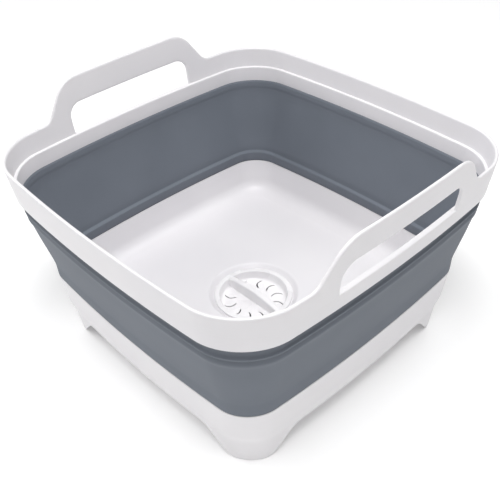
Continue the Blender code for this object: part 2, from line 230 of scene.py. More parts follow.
def rim_section(z):
    """Outside of the rim at height z: its half width falls by the draft per height, handles and all.

    The frame's box holds the half width over X at the handles' top, and over Y at the rim's top edge.
    """
    sizes = bpy.context.scene.tub_sizes
    z = np.asarray(z, float)
    fall = RIM_Z + sizes.rim_height - z
    share = fall / sizes.rim_height
    corner = sizes.rim_top_corner + (sizes.rim_low_corner - sizes.rim_top_corner) * share
    half_x = RIM_HIGH.x - sizes.rim_draft * (HANDLE_TOP_Z - z)
    half_y = RIM_HIGH.y - sizes.rim_draft * fall
    return Section(half_x, half_y, sizes.rim_bow, corner)


def base_section(z):
    """Outside of the base at height z: drafted, with a soft step inwards above the feet."""
    sizes = bpy.context.scene.tub_sizes
    z = np.asarray(z, float)
    step = sizes.foot_step * (1 - smooth_step(z, sizes.step_low, sizes.step_high))
    inset = sizes.base_draft * (BASE_TOP_Z - z) + step
    corner = np.full_like(z, sizes.base_corner)
    return Section(BASE_HIGH.x - inset, BASE_HIGH.y - inset, sizes.base_bow, corner)


# ---- meshes --------------------------------------------------------------------------------------


def wrapped_faces(rows, columns, wrap_rows=True):
    """Quads of a grid whose columns close round, and whose rows do too if wrap_rows is set."""
    row = np.arange(rows if wrap_rows else rows - 1)[:, None]
    column = np.arange(columns)[None, :]
    next_row = (row + 1) % rows
    next_column = (column + 1) % columns
    corners = (row * columns + column, row * columns + next_column)
    corners += (next_row * columns + next_column, next_row * columns + column)
    return np.stack(np.broadcast_arrays(*corners), axis=-1).reshape(-1, 4)


def signed_volume(points, faces):
    """A sixth of the sum of each triangle's triple product: above zero when the faces point out."""
    a, b, c, d = (points[faces[:, k]] for k in range(4))
    return (np.einsum("ij,ij->", a, np.cross(b, c)) + np.einsum("ij,ij->", a, np.cross(c, d))) / 6


def outward_shell(points, faces):
    """(points, faces) of one closed shell, with its faces turned to point outwards."""
    flat = points.reshape(-1, 3)
    return flat, faces[:, ::-1] if signed_volume(flat, faces) < 0 else faces


def grid_shell(points):
    """The closed shell of a grid that closes round both ways."""
    return outward_shell(points, wrapped_faces(*points.shape[:2]))


def turned_shell(profile, turns):
    """The closed shell of a closed profile of (radius, z) turned about the axis in equal parts."""
    return grid_shell(turned(profile, 2 * math.pi * np.arange(turns) / turns))


def turned(profile, angles):
    """Points of a profile of (radius, z) at each angle: radius times the angle's cosine and sine."""
    radius, height = profile[:, 0][:, None], profile[:, 1][:, None]
    circle = (radius * np.cos(angles), radius * np.sin(angles), height)
    return np.stack(np.broadcast_arrays(*circle), axis=-1)


def strip_shell(points):
    """Closes a strip of rings with a row of quads across each end.

    A ring's first half and its second half face each other, so each quad joins two neighbours of the
    one to the two across from them.
    """
    rows, columns = points.shape[:2]
    faces = wrapped_faces(rows, columns, wrap_rows=False)
    pairs = np.arange(columns // 2 - 1)
    end = np.stack([pairs, pairs + 1, columns - 2 - pairs, columns - 1 - pairs], axis=1)
    faces = np.concatenate([faces, end[:, ::-1], end + (rows - 1) * columns])
    return outward_shell(points, faces)


def add_mesh(name, shells, material, sharp=40.0):
    """One mesh object from closed shells, shaded smooth but for edges over sharp degrees."""
    points, faces, start = [], [], 0
    for shell_points, shell_faces in shells:
        points.append(shell_points)
        faces.append(shell_faces + start)
        start += len(shell_points)
    points = np.concatenate(points)
    faces = np.concatenate(faces)
    mesh = bpy.data.meshes.new(name)
    mesh.vertices.add(len(points))
    mesh.vertices.foreach_set("co", points.astype(np.float32).ravel())
    mesh.loops.add(faces.size)
    mesh.loops.foreach_set("vertex_index", faces.astype(np.int32).ravel())
    mesh.polygons.add(len(faces))
    mesh.polygons.foreach_set("loop_start", np.arange(0, faces.size, 4, dtype=np.int32))
    mesh.update(calc_edges=True)
    mesh.validate()
    mesh.shade_smooth()
    mesh.set_sharp_from_angle(angle=math.radians(sharp))
    mesh.materials.append(material)
    piece = bpy.data.objects.new(name, mesh)
    bpy.context.scene.collection.objects.link(piece)
    return piece


def carried(section_at, profile, stations):
    """Carries a profile of (offset, z) round the plan outline; offset goes outwards from the section.

    profile is (rows, 2), or (rows, columns, 2) where it changes from station to station.
    """
    if profile.ndim == 2:
        profile = profile[:, None, :]
    offset, height = profile[..., 0], profile[..., 1]
    x, y = outline_points(grown(section_at(height), offset), stations)
    return np.stack(np.broadcast_arrays(x, y, height), axis=-1)


def even_runs(steps):
    """Runs along a side from its start up to, but not including, its end."""
    return np.arange(steps) / steps


# ---- finishes ------------------------------------------------------------------------------------


def linear(code):
    """An sRGB hex code as linear red, green, blue and alpha."""
    value = np.array([int(code[k : k + 2], 16) for k in (1, 3, 5)]) / 255
    curve = np.where(value <= 0.04045, value / 12.92, ((value + 0.055) / 1.055) ** 2.4)
    return (*curve.tolist(), 1.0)


def add_node(tree, kind, inputs=None, links=None, **settings):
    """Adds one node with its settings and input values, and links inputs from other sockets."""
    node = tree.nodes.new(kind)
    for key, value in settings.items():
        setattr(node, key, value)
    for key, value in (inputs or {}).items():
        node.inputs[key].default_value = value
    for key, socket in (links or {}).items():
        tree.links.new(socket, node.inputs[key])
    return node


def moulded(name, colour, shade, roughness, grain, depth, mottle, specular):
    """A moulded plastic: two near shades that drift over the part, and a fine grain in its surface.

    grain and mottle are the real sizes of the two patterns in metres, and depth is the grain's height.
    """
    material = bpy.data.materials.new(name)
    material.use_nodes = True
    tree = material.node_tree
    shader = tree.nodes["Principled BSDF"]
    shader.inputs["Metallic"].default_value = 0.0
    shader.inputs["IOR"].default_value = 1.49
    shader.inputs["Specular IOR Level"].default_value = specular
    place = add_node(tree, "ShaderNodeTexCoord").outputs["Object"]
    noise = "ShaderNodeTexNoise"
    drift = add_node(tree, noise, {"Scale": 1 / mottle, "Detail": 2.0}, {"Vector": place})
    ramp = add_node(tree, "ShaderNodeValToRGB", links={"Fac": drift.outputs["Fac"]})
    ramp.color_ramp.elements[0].position = 0.3
    ramp.color_ramp.elements[0].color = linear(shade)
    ramp.color_ramp.elements[1].position = 0.7
    ramp.color_ramp.elements[1].color = linear(colour)
    tree.links.new(ramp.outputs["Color"], shader.inputs["Base Color"])
    gloss = add_node(
        tree,
        "ShaderNodeMapRange",
        {"To Min": roughness - 0.04, "To Max": roughness + 0.04},
        {"Value": drift.outputs["Fac"]},
    )
    tree.links.new(gloss.outputs["Result"], shader.inputs["Roughness"])
    grit = add_node(tree, noise, {"Scale": 1 / grain, "Detail": 3.0}, {"Vector": place})
    bump = add_node(
        tree,
        "ShaderNodeBump",
        {"Strength": 0.35, "Distance": depth},
        {"Height": grit.outputs["Fac"]},
    )
    tree.links.new(bump.outputs["Normal"], shader.inputs["Normal"])
    return material


def white_polypropylene():
    """Injection-moulded polypropylene, satin from a lightly textured mould: soft, broad highlights."""
    colours = bpy.context.scene.tub_colours
    return moulded(
        "white_polypropylene",
        colours.white,
        colours.white_shade,
        roughness=0.36,
        grain=0.0012,
        depth=0.00003,
        mottle=0.09,
        specular=0.45,
    )


def strainer_polypropylene():
    """The same polypropylene from a polished mould, glossier than the shells; its colour is a little
    whiter than theirs, a painted highlight on the flange ring and bar.
    """
    colours = bpy.context.scene.tub_colours
    return moulded(
        "strainer_polypropylene",
        colours.strainer,
        colours.white,
        roughness=0.28,
        grain=0.0012,
        depth=0.00001,
        mottle=0.03,
        specular=0.5,
    )


def grey_elastomer():
    """Thermoplastic elastomer moulded on to the shells: matt, faintly bloomed, no clear reflection."""
    colours = bpy.context.scene.tub_colours
    return moulded(
        "grey_elastomer",
        colours.grey,
        colours.grey_shade,
        roughness=0.62,
        grain=0.0009,
        depth=0.00005,
        mottle=0.06,
        specular=0.3,
    )


def seal_silicone():
    """Compression-moulded silicone rubber, smooth and slightly tacky, which dulls its highlight."""
    colours = bpy.context.scene.tub_colours
    return moulded(
        "seal_silicone",
        colours.seal,
        colours.seal,
        roughness=0.5,
        grain=0.0008,
        depth=0.00002,
        mottle=0.03,
        specular=0.4,
    )


def studio_paper():
    """Pale translucent backdrop sheet, matt, with a faint fibre grain and a weak light behind it."""
    colours = bpy.context.scene.tub_colours
    material = moulded(
        "studio_paper",
        colours.paper,
        colours.paper,
        roughness=0.9,
        grain=0.003,
        depth=0.00002,
        mottle=0.5,
        specular=0.1,
    )
    shader = material.node_tree.nodes["Principled BSDF"]
    shader.inputs["Emission Color"].default_value = linear(colours.paper)
    shader.inputs["Emission Strength"].default_value = PAPER_GLOW
    return material


# ---- sizes and colours ---------------------------------------------------------------------------


def length(name, text, value):
    """A length property in metres."""
    return FloatProperty(
        name=name, description=text, default=value, subtype="DISTANCE", unit="LENGTH", precision=4
    )


def ratio(name, text, value):
    """A property that is a plain number."""
    return FloatProperty(name=name, description=text, default=value)


def colour(name, text, code):
    """A colour property, as an sRGB hex code."""
    return StringProperty(name=name, description=text, default=code)


class TubSizes(bpy.types.PropertyGroup):
    """Sizes that shape the fine surfaces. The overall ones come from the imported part."""

    rim_height: length("Rim height", "From the rim's lower edge to its top edge", 0.0316)
    rim_bow: length("Rim bow", "How far each side of the rim bows out", 0.0075)
    rim_top_corner: length("Rim top corner", "Corner radius at the top edge", 0.042)
    rim_low_corner: length("Rim low corner", "Corner radius at the lower edge", 0.0395)
    rim_draft: ratio("Rim draft", "Fall of the half width per height", 0.125)
    rim_skin: length("Rim skin", "Thickness of the upper wall and the handles", 0.0027)
    rim_low_skin: length("Rim low skin", "Thickness at the lower edge", 0.0032)
    ledge_drop: length("Ledge drop", "From the top edge down to the inner ledge", 0.0172)
    ledge_round: length("Ledge round", "Radius of the ledge's inner edge", 0.0009)
    handle_foot: length("Handle foot", "Half the handle's length at its foot", 0.085)
    handle_flank: length("Handle flank", "How far each flank leans in over its rise", 0.022)
    handle_shoulder: length("Handle shoulder", "Radius of the upper corners", 0.026)
    handle_fillet: length("Handle fillet", "Radius between flank and rim", 0.012)
    grip_half: length("Grip half length", "Half the length of the finger hole", 0.064)
    grip_drop: length("Grip drop", "From the handle's top down to the hole", 0.0227)
    grip_corner: length("Grip corner", "Radius of the hole's upper corners", 0.012)
    wall_skin: length("Wall skin", "Thickness of the soft wall", 0.0022)
    fold_low: length("Lower fold", "Height of the lower fold line", 0.0818)
    fold_high: length("Upper fold", "Height of the upper fold line", 0.1368)
    base_bow: length("Base bow", "How far each side of the base bows out", 0.006)
    base_corner: length("Base corner", "Corner radius of the base", 0.026)
    base_draft: ratio("Base draft", "Fall of the half width per height", 0.101)
    base_skin: length("Base skin", "Thickness of the base's wall", 0.0022)
    foot_step: length("Foot step", "Soft step inwards above the feet", 0.0016)
    step_low: length("Step low", "Where the soft step ends", 0.0245)
    step_high: length("Step high", "Where the soft step starts", 0.0372)
    floor_height: length("Floor height", "Top of the floor above the feet", 0.0313)
    floor_skin: length("Floor skin", "Thickness of the floor", 0.0024)
    floor_fillet: length("Floor fillet", "Radius between floor and wall", 0.012)
    arch_height: length("Arch height", "Clear height between the feet", 0.0237)
    arch_start: length("Arch start", "Where a foot's flank starts, from the middle of the side", 0.069)
    arch_end: length("Arch end", "Where a foot's flank meets its bottom", 0.103)
    recess_depth: length("Recess depth", "From the floor down to the strainer's seat", 0.0042)
    recess_slope: length("Recess slope", "How far the recess's side slopes in", 0.004)
    flange_drop: length("Flange drop", "From the floor down to the top of the flange", 0.0019)
    drain_gap: length("Drain gap", "Clearance round the strainer's flange and cup", 0.001)
    seat_gap: length("Seat gap", "Clearance under the flange and round the seal", 0.0003)
    cup_radius: length("Cup radius", "Outside of the strainer cup", 0.0322)
    cup_skin: length("Cup skin", "Thickness of the strainer cup", 0.0017)
    cup_depth: length("Cup depth", "From the flange's top to the cup's floor", 0.0085)
    sump_depth: length("Sump depth", "From the floor to the sump's bottom", 0.0206)
    outlet_radius: length("Outlet radius", "Radius of the hole in the sump", 0.014)
    bar_width: length("Bar width", "Width of the bar across the strainer", 0.0058)
    bar_crown: length("Bar crown", "Rise of the bar's middle above its ends", 0.0044)
    slot_count: IntProperty(name="Slots", description="Places for slots, all round", default=12)
    slot_width: length("Slot width", "Width of each slot", 0.0013)
    slot_length: length("Slot length", "Length of each slot", 0.011)
    slot_bulge: length("Slot bulge", "How far a slot bends aside at its middle", 0.003)


class TubColours(bpy.types.PropertyGroup):
    """Colours as sRGB hex codes."""

    white: colour("White", "Light shade of the hard shells", "#E9E7E9")
    white_shade: colour("White shade", "Darker drift of the shells", "#E4E2E5")
    # painted highlight: the strainer is coloured a little whiter than the shells to stand in for the
    # bright flange ring and bar
    strainer: colour("Strainer", "Light shade of the strainer", "#F5F4F5")
    grey: colour("Grey", "Light shade of the soft wall", "#70767F")
    grey_shade: colour("Grey shade", "Darker drift of the wall", "#6B717A")
    seal: colour("Seal", "Stopper seal", "#565C63")
    paper: colour("Paper", "Backdrop", "#FCFCFC")


# ---- rim -----------------------------------------------------------------------------------------


def rim_band():
    """The rim's lower band up to the ledge: a four-cornered profile with rounded edges.

    Under a finger hole its outer upper edge is rounded too, as the sill; elsewhere that edge is sharp
    and flush with the wall that stands on it.
    """
    sizes = bpy.context.scene.tub_sizes
    ledge = RIM_Z + sizes.rim_height - sizes.ledge_drop
    reach = half_straight(ledge)
    inner = -sizes.rim_low_skin - sizes.rim_draft * (ledge - RIM_Z)
    edge = sizes.rim_low_skin / 4
    sharp_edge = edge / 40

    def profile(sill):
        return rounded([
            (0, RIM_Z, edge),
            (0, ledge, sill),
            (inner, ledge, sizes.ledge_round),
            (-sizes.rim_low_skin, RIM_Z, edge),
        ], EDGE_STEPS)

    plain, sill = profile(sharp_edge), profile(sizes.rim_skin * 0.4)
    outside = np.linspace(reach, sizes.grip_half + sizes.rim_skin / 2, 12)
    inside = np.linspace(sizes.grip_half - sizes.rim_skin / 4, 0, 26)
    half_side = np.concatenate([outside, inside])
    lateral = np.concatenate([half_side, -half_side[-2::-1]])
    runs = (reach - lateral) / (2 * reach)
    stations = stations_from(runs[:-1], even_runs(SIDE_STEPS), RIM_ARC_STEPS)
    across = np.abs(2 * stations.run - 1) * reach
    open_here = (stations.quarter % 2 == 1) & (stations.turn == 1) & (across < sizes.grip_half)
    share = open_here.astype(float)[None, :, None]
    blended = plain[:, None, :] * (1 - share) + sill[:, None, :] * share
    return grid_shell(carried(rim_section, blended, stations))


def half_straight(z):
    """Half the straight length of a handle side of the rim at height z."""
    section = rim_section(z)
    return float(section.half_y - section.bow - section.corner)


def path_at(points, lengths):
    """Points at the given lengths along a polyline."""
    steps = np.linalg.norm(np.diff(points, axis=0), axis=1)
    along = np.concatenate([[0], np.cumsum(steps)])
    return np.stack([np.interp(lengths, along, points[:, k]) for k in (0, 1)], axis=1)


def length_at(points, index):
    """Length along a polyline up to its point at index."""
    return float(np.linalg.norm(np.diff(points[: index + 1], axis=0), axis=1).sum())


def handle_columns(reach, low_z):
    """Inner and outer ends, as (lateral, z), of the wall's columns over one handle side.

    The inner curve runs along the ledge, up the finger hole's side and across its top. The outer curve
    runs along the rim's top edge, up the handle's flank and along its top. The two are paired at five
    places and shared evenly by length between them, and the second half mirrors the first.
    """
    sizes = bpy.context.scene.tub_sizes
    top_z = RIM_Z + sizes.rim_height
    hole_z = HANDLE_TOP_Z - sizes.grip_drop
    steps = HANDLE_ARC_STEPS
    far = 2 * reach
    outer = rounded([
        (far, top_z, 0),
        (sizes.handle_foot, top_z, sizes.handle_fillet),
        (sizes.handle_foot - sizes.handle_flank, HANDLE_TOP_Z, sizes.handle_shoulder),
        (0, HANDLE_TOP_Z, 0),
        (0, far, 0),
        (far, far, 0),
    ], steps)[: 2 * steps + 4]
    outer[0] = (reach, top_z)
    inner = rounded([
        (far, low_z, 0),
        (sizes.grip_half, low_z, 0),
        (sizes.grip_half, hole_z, sizes.grip_corner),
        (0, hole_z, 0),
        (0, -far, 0),
        (far, -far, 0),
    ], steps)[: steps + 4]
    inner[0] = (reach, low_z)
    fillet_start = length_at(outer, 1)
    fillet_end = length_at(outer, steps + 1)
    shoulder_start = length_at(outer, steps + 2)
    shoulder_end = length_at(outer, 2 * steps + 2)
    low_flank = fillet_end + (shoulder_start - fillet_end) * 0.3
    outer_end = length_at(outer, 2 * steps + 3)
    outer_keys = [0, fillet_start, low_flank, shoulder_start, shoulder_end, outer_end]
    corner = length_at(inner, 1)
    hole_side = length_at(inner, 2)
    hole_top = length_at(inner, steps + 2)
    inner_keys = [0, corner * 0.45, corner, hole_side, hole_top, length_at(inner, steps + 3)]
    columns_between = (6, 14, 12, 18, 22)
    parts = [key + np.arange(count) / count for key, count in enumerate(columns_between)]
    keys = range(len(outer_keys))
    spread = np.concatenate(parts + [[keys[-1]]])
    inner_half = path_at(inner, np.interp(spread, keys, inner_keys))
    outer_half = path_at(outer, np.interp(spread, keys, outer_keys))
    mirror = np.array([-1, 1])
    inner_all = np.concatenate([inner_half, inner_half[-2::-1] * mirror])
    outer_all = np.concatenate([outer_half, outer_half[-2::-1] * mirror])
    return inner_all[:-1], outer_all[:-1]


def rim_wall():
    """The thin upper wall with both handles: columns from an inner to an outer curve, with round ends.

    Each column is a stadium: two straight faces a skin apart, closed by half circles. A point's place
    along the column gives its lateral place and height, and its depth in the stadium gives its offset.
    """
    sizes = bpy.context.scene.tub_sizes
    top_z = RIM_Z + sizes.rim_height
    radius = sizes.rim_skin / 2
    low_z = top_z - sizes.ledge_drop - radius
    reach = half_straight(top_z)
    inner, outer = handle_columns(reach, low_z)
    handle_runs_in = (reach - inner[:, 0]) / (2 * reach)
    handle_runs_out = (reach - outer[:, 0]) / (2 * reach)
    plain = even_runs(SIDE_STEPS)
    at_inner = stations_from(handle_runs_in, plain, RIM_ARC_STEPS)
    at_outer = stations_from(handle_runs_out, plain, RIM_ARC_STEPS)
    z_inner = np.full(len(at_inner.run), low_z)
    z_outer = np.full(len(at_inner.run), top_z)
    on_handle = (at_inner.quarter % 2 == 1) & (at_inner.turn == 1)
    z_inner[on_handle] = np.tile(inner[:, 1], 2)
    z_outer[on_handle] = np.tile(outer[:, 1], 2)
    lateral_step = np.where(on_handle, (at_outer.run - at_inner.run) * 2 * reach, 0)
    span = np.hypot(lateral_step, z_outer - z_inner)
    cap = np.linspace(0, math.pi, CAP_STEPS)
    face = np.linspace(0, 1, HANDLE_ARC_STEPS + 1)[1:-1]
    zero = np.zeros_like(face)
    # each row: share of the straight part, reach past it in radii, depth in radii
    share = np.concatenate([face, np.ones(CAP_STEPS), face[::-1], np.zeros(CAP_STEPS)])
    past = np.concatenate([zero, np.sin(cap), zero, -np.sin(cap)])
    depth = np.concatenate([zero, np.cos(cap) - 1, zero - 2, -np.cos(cap) - 1])
    along = radius + share[:, None] * (span - 2 * radius)[None, :] + past[:, None] * radius
    part = along / span[None, :]
    run = at_inner.run[None, :] + (at_outer.run - at_inner.run)[None, :] * part
    height = z_inner[None, :] + (z_outer - z_inner)[None, :] * part
    stations = Stations(at_inner.quarter[None, :], at_inner.turn[None, :], run)
    offset = np.broadcast_to(depth[:, None] * radius, height.shape)
    x, y = outline_points(grown(rim_section(height), offset), stations)
    return grid_shell(np.stack([x, y, height], axis=-1))


class MakeRim(bpy.types.Operator):
    """Make the white rim with its two handles"""

    bl_idname = "washtub.rim"
    bl_label = "Rim and handles"

    def execute(self, context):
        piece = add_mesh("rim", [rim_band(), rim_wall()], white_polypropylene())
        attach(piece, "rim")
        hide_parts("rim_frame")
        return {"FINISHED"}


# ---- soft wall -----------------------------------------------------------------------------------


def wall_section(z):
    """The base's outline at its joint, whose bow and corners turn to the rim's own further up."""
    sizes = bpy.context.scene.tub_sizes
    z = np.asarray(z, float)
    share = smooth_step(z, BASE_TOP_Z, RIM_Z)
    rim = rim_section(RIM_Z)
    rim_corner = rim.corner - (rim.half_x - BASE_HIGH.x)
    bow = sizes.base_bow + (sizes.rim_bow - sizes.base_bow) * share
    corner = sizes.base_corner + (rim_corner - sizes.base_corner) * share
    none = np.zeros_like(z)
    return Section(BASE_HIGH.x + none, BASE_HIGH.y + none, bow, corner)


def wall_profile():
    """The soft wall's closed profile as (offset, z), both faces smooth curves through a few places.

    Outside, from the joint up: an almost upright band, the lower fold, the panel, the upper fold, a
    small ridge and a channel under the rim. Inside: the same, with a step over the base's wall.
    """
    sizes = bpy.context.scene.tub_sizes
    skin = sizes.wall_skin
    tuck = sizes.base_skin
    rim_face = float(rim_section(RIM_Z).half_x) - BASE_HIGH.x
    bore = rim_face - sizes.rim_low_skin
    panel = bore - 0.0005
    outside = smooth_curve([
        (BASE_TOP_Z - 0.0004, -0.0007),
        (BASE_TOP_Z + 0.0005, -0.0006),
        (BASE_TOP_Z + 0.0011, 0.0),
        (BASE_TOP_Z + 0.004, 0.0001),
        (sizes.fold_low - 0.006, 0.0004),
        (sizes.fold_low, 0.0014),
        (sizes.fold_low + 0.012, 0.0042),
        (sizes.fold_low + 0.0295, 0.0085),
        (sizes.fold_high - 0.0118, panel - 0.0019),
        (sizes.fold_high - 0.0072, panel - 0.0004),
        (sizes.fold_high - 0.0054, panel - 0.0008),
        (sizes.fold_high - 0.0034, panel - 0.0012),
        (sizes.fold_high - 0.0018, panel + 0.0004),
        (sizes.fold_high - 0.0006, panel + 0.0006),
        (sizes.fold_high + 0.0012, panel - 0.0008),
        (sizes.fold_high + 0.0045, panel - 0.0011),
        (RIM_Z - 0.0004, panel - 0.0004),
    ], FINE_STEPS)
    inside = smooth_curve([
        (BASE_TOP_Z - 0.0004, -skin + 0.0007),
        (BASE_TOP_Z + 0.0005, -skin + 0.0006),
        (BASE_TOP_Z + 0.0011, -skin - 0.0002),
        (sizes.fold_low - 0.0072, -skin - 0.0016),
        (sizes.fold_low - 0.0067, -skin - 0.0014),
        (sizes.fold_low - 0.0054, -skin + 0.0014),
        (sizes.fold_low - 0.0046, -skin + 0.0016),
        (sizes.fold_low, -skin + 0.0021),
        (sizes.fold_low + 0.012, -skin + 0.0048),
        (sizes.fold_low + 0.0295, -skin + 0.009),
        (sizes.fold_high - 0.0095, panel - skin - 0.0008),
        (sizes.fold_high - 0.0035, panel - skin + 0.0004),
        (sizes.fold_high, bore - 0.0018),
        (RIM_Z - 0.0024, bore - 0.0009),
        (RIM_Z - 0.0017, bore - 0.0006),
        (RIM_Z - 0.0011, bore + 0.0007),
        (RIM_Z - 0.0004, bore + 0.0008),
    ], FINE_STEPS)
    top_z, foot_z = RIM_Z + 0.0016, BASE_TOP_Z - 0.002
    top = np.array([(bore + 0.0016, top_z), (bore + 0.0008, top_z)])
    foot = np.array([(0.0007 - tuck, foot_z), (-0.0007, foot_z)])
    return np.concatenate([outside, top, inside[::-1], foot])


class MakeWall(bpy.types.Operator):
    """Make the soft wall, standing open, with its two fold lines"""

    bl_idname = "washtub.wall"
    bl_label = "Soft wall"

    def execute(self, context):
        plain = even_runs(SIDE_STEPS)
        stations = stations_from(plain, plain, WALL_ARC_STEPS)
        shell = grid_shell(carried(wall_section, wall_profile(), stations))
        piece = add_mesh("soft_wall", [shell], grey_elastomer(), sharp=50.0)
        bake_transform(piece)
        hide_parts("wall_upper_band", "wall_main_panel", "wall_lower_band")
        return {"FINISHED"}


# ---- base ----------------------------------------------------------------------------------------


def arch_heights(stations):
    """Height of the skirt's lower edge at each station: zero at the feet, arched between them.

    The distance from the middle of the side is measured along the side and on round the corner's arc.
    """
    sizes = bpy.context.scene.tub_sizes
    section = base_section(0.0)
    half_width = np.where(stations.quarter % 2 == 0, section.half_x, section.half_y)
    straight = half_width - section.bow - section.corner
    turned_by = np.minimum(stations.turn, 1 - stations.turn) * math.pi / 2
    round_corner = straight + section.corner * turned_by
    across = np.where(stations.turn < 1, round_corner, np.abs(2 * stations.run - 1) * straight)
    return sizes.arch_height * (1 - smooth_step(across, sizes.arch_start, sizes.arch_end))


def base_shell():
    """The base in one closed grid: wall, skirt with four feet, floor, recess, sump and outlet.

    Rows go down the outside, round the skirt's lower edge, up inside it, in along the floor's
    underside, down round the sump, up inside it, out along the floor and up the wall. Between the
    outline and the round drain each row's points slide along rays from the middle.
    """
    sizes = bpy.context.scene.tub_sizes
    flank = 0.36
    flank_runs = even_runs(40) * flank
    runs = np.concatenate([flank_runs, flank + even_runs(14) * 0.28, 0.64 + flank_runs])
    stations = stations_from(runs, runs, BASE_ARC_STEPS)
    floor_z = sizes.floor_height
    under_z = floor_z - sizes.floor_skin
    skin = sizes.base_skin
    lip = 0.0004
    lower = arch_heights(stations)[None, :]
    upright_z = np.linspace(BASE_TOP_Z - 0.001, sizes.step_high + 0.001, 16)
    fixed_z = np.concatenate([[BASE_TOP_Z - lip], upright_z])
    edge = skin * 0.45
    share = np.linspace(0, 1, 18)[:, None]
    skirt = sizes.step_high * (1 - share) + (lower + edge) * share
    arc = np.linspace(0, math.pi / 2, EDGE_STEPS)[1:, None]
    columns = len(stations.run)

    def rows(values):
        return np.broadcast_to(np.asarray(values, float).reshape(-1, 1), (len(values), columns))

    bottom_out = lower + edge * (1 - np.sin(arc))
    bottom_in = bottom_out[::-1]
    inner_share = np.linspace(0, 1, EDGE_STEPS)[:, None]
    inner_up = (lower + edge) * (1 - inner_share) + under_z * inner_share
    outer_arc = -edge * (1 - np.cos(arc))
    inner_arc = -skin + edge * (1 - np.cos(arc[::-1]))
    top = rows([BASE_TOP_Z])
    heights = np.concatenate([top, rows(fixed_z), skirt, bottom_out, bottom_in, inner_up])
    offsets = np.concatenate([
        rows([-lip]),
        rows(np.zeros(len(fixed_z))),
        np.zeros_like(skirt),
        np.broadcast_to(outer_arc, bottom_out.shape),
        np.broadcast_to(inner_arc, bottom_in.shape),
        np.full_like(inner_up, -skin),
    ])
    outside = carried(base_section, np.stack([offsets, heights], axis=-1), stations)
    turn = np.linspace(0, math.pi / 2, 12)
    fillet_z = floor_z + sizes.floor_fillet * (1 - np.cos(turn))
    fillet_in = -skin - sizes.floor_fillet * (1 - np.sin(turn))
    wall_z = np.linspace(fillet_z[-1], BASE_TOP_Z - lip, 14)[1:]
    heights = np.concatenate([fillet_z, wall_z, [BASE_TOP_Z]])
    offsets = np.concatenate([fillet_in, np.full(len(wall_z), -skin), [-skin + lip]])
    inside = carried(base_section, np.stack([offsets, heights], axis=-1), stations)
    ray = np.arctan2(inside[0, :, 1], inside[0, :, 0])
    land = FLANGE_RADIUS + sizes.drain_gap
    land_z = floor_z - sizes.recess_depth
    floor_start = land + 0.012
    sump = sizes.cup_radius + sizes.drain_gap
    sump_z = floor_z - sizes.sump_depth
    drain = rounded([
        (land + sizes.recess_slope + skin, under_z, 0),
        (land + skin, land_z - skin, 0.001),
        (sump + skin, land_z - skin, 0.001),
        (sump + skin, sump_z - skin, 0.003),
        (sizes.outlet_radius, sump_z - skin, 0.0006),
        (sizes.outlet_radius, sump_z, 0.0006),
        (sump, sump_z, 0.002),
        (sump, land_z, 0.0005),
        (land, land_z, 0.0006),
        (land + sizes.recess_slope, floor_z, 0.003),
        (floor_start, floor_z, 0),
    ], FINE_STEPS)
    middle = turned(drain, ray)
    slide = np.linspace(0, 1, 7)[1:-1, None, None]
    under = outside[-1] * (1 - slide) + middle[0] * slide
    over = middle[-1] * (1 - slide) + inside[0] * slide
    return grid_shell(np.concatenate([outside, under, middle, over, inside]))


class MakeBase(bpy.types.Operator):
    """Make the white base with its feet, floor and sump"""

    bl_idname = "washtub.base"
    bl_label = "Base tray"

    def execute(self, context):
        piece = add_mesh("base", [base_shell()], white_polypropylene())
        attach(piece, "base")
        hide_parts("base_tray")
        return {"FINISHED"}


# ---- strainer ------------------------------------------------------------------------------------


def strainer_heights():
    """Heights of the top of the strainer's flange and of the top of its floor."""
    sizes = bpy.context.scene.tub_sizes
    flange_z = sizes.floor_height - sizes.flange_drop
    return flange_z, flange_z - sizes.cup_depth


def strainer_shell():
    """The cup as one turned profile: round flange, wall, floor and the peg under it."""
    sizes = bpy.context.scene.tub_sizes
    flange_z, floor_z = strainer_heights()
    flange_low = sizes.floor_height - sizes.recess_depth + sizes.seat_gap
    under_z = floor_z - 0.0015
    inner = sizes.cup_radius - sizes.cup_skin
    axis, peg, neck, head = 0.0001, 0.007, 0.0037, 0.0055
    seal_top = SEAL_HIGH.z + sizes.seat_gap
    head_z = SEAL_LOW.z - sizes.seat_gap
    profile = rounded([
        (axis, floor_z, 0),
        (inner - 0.0012, floor_z, 0.0022),
        (inner, flange_z, 0.0009),
        (FLANGE_RADIUS, flange_z, 0.0009),
        (FLANGE_RADIUS, flange_low, 0.0006),
        (sizes.cup_radius, flange_low, 0.0003),
        (sizes.cup_radius - 0.001, under_z, 0.0018),
        (peg, under_z, 0.0005),
        (peg, seal_top, 0.0004),
        (neck, seal_top, 0),
        (neck, head_z, 0),
        (head, head_z, 0.0004),
        (head - 0.001, CUP_LOW.z, 0.0004),
        (axis, CUP_LOW.z, 0),
    ], EDGE_STEPS)
    flat = np.array([(radius, floor_z) for radius in np.linspace(0.004, inner - 0.005, 9)])
    profile = np.concatenate([profile[:1], flat, profile[1:]])
    return turned_shell(profile, CUP_TURNS)


